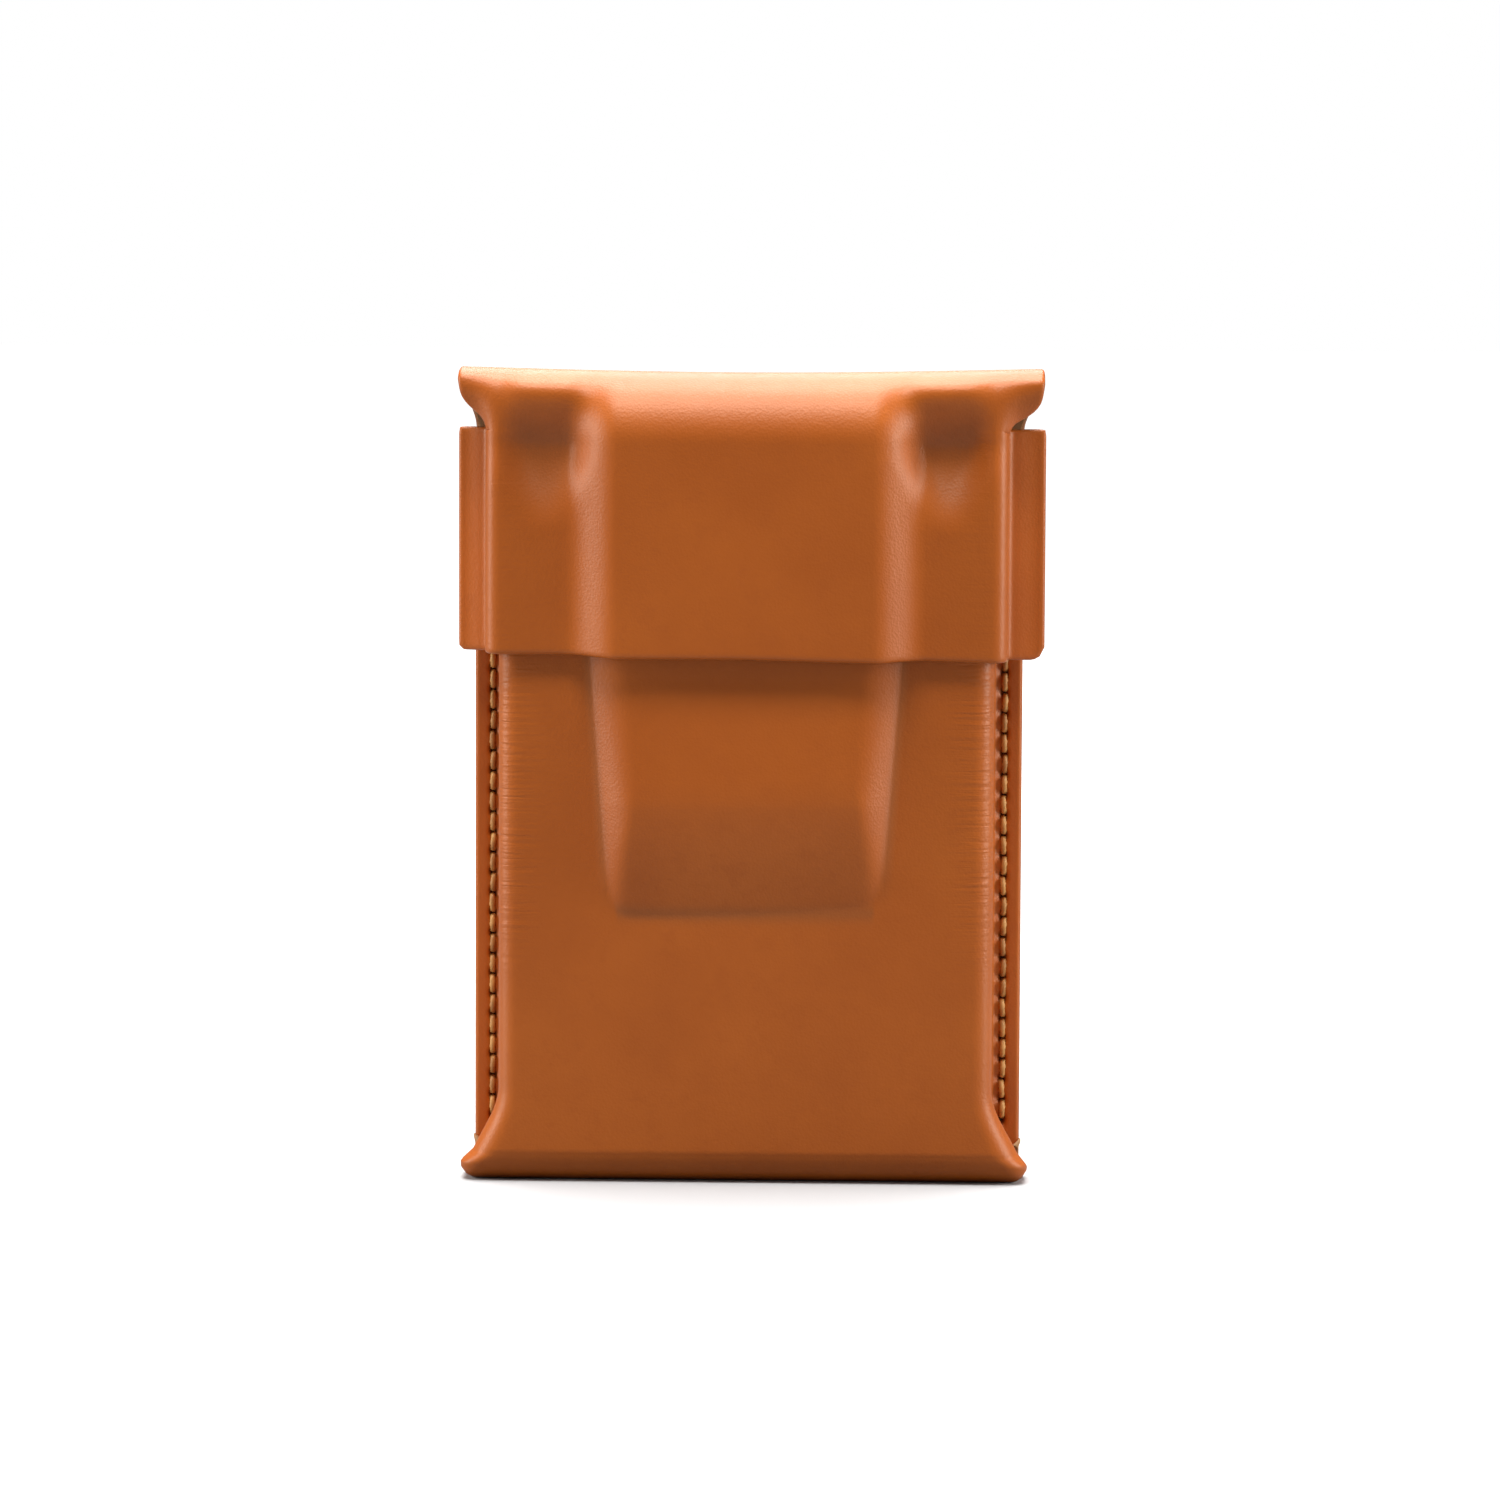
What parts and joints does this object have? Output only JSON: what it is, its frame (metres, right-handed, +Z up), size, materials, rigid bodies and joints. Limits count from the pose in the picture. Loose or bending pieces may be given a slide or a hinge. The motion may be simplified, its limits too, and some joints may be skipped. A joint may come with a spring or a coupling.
{
  "type": "card holder",
  "caption": "Upright moulded leather card holder with stitched sides and a fold-over flap that lifts back to reach the cards.",
  "frame": {"origin": "on the resting plane, under the middle of the holder's box", "axes": "+Z up along the cards, front face towards -Y, +X to the right when facing the front"},
  "size_m": [0.0694, 0.0166, 0.095],
  "materials": {
    "leather": "satin",
    "thread": "waxed"
  },
  "bodies": {
    "pouch": {"front_panel": "leather", "back_panel": "leather", "left_seam_thread": "thread", "right_seam_thread": "thread"},
    "flap": {"flap": "leather"}
  },
  "joints": [
    {"name": "flap_hinge", "type": "hinge", "parent": "pouch", "child": "flap", "pos_m": [0, 0.00827, 0.08672], "axis": [-1, 0, 0], "range_deg": [0, 120]}
  ]
}
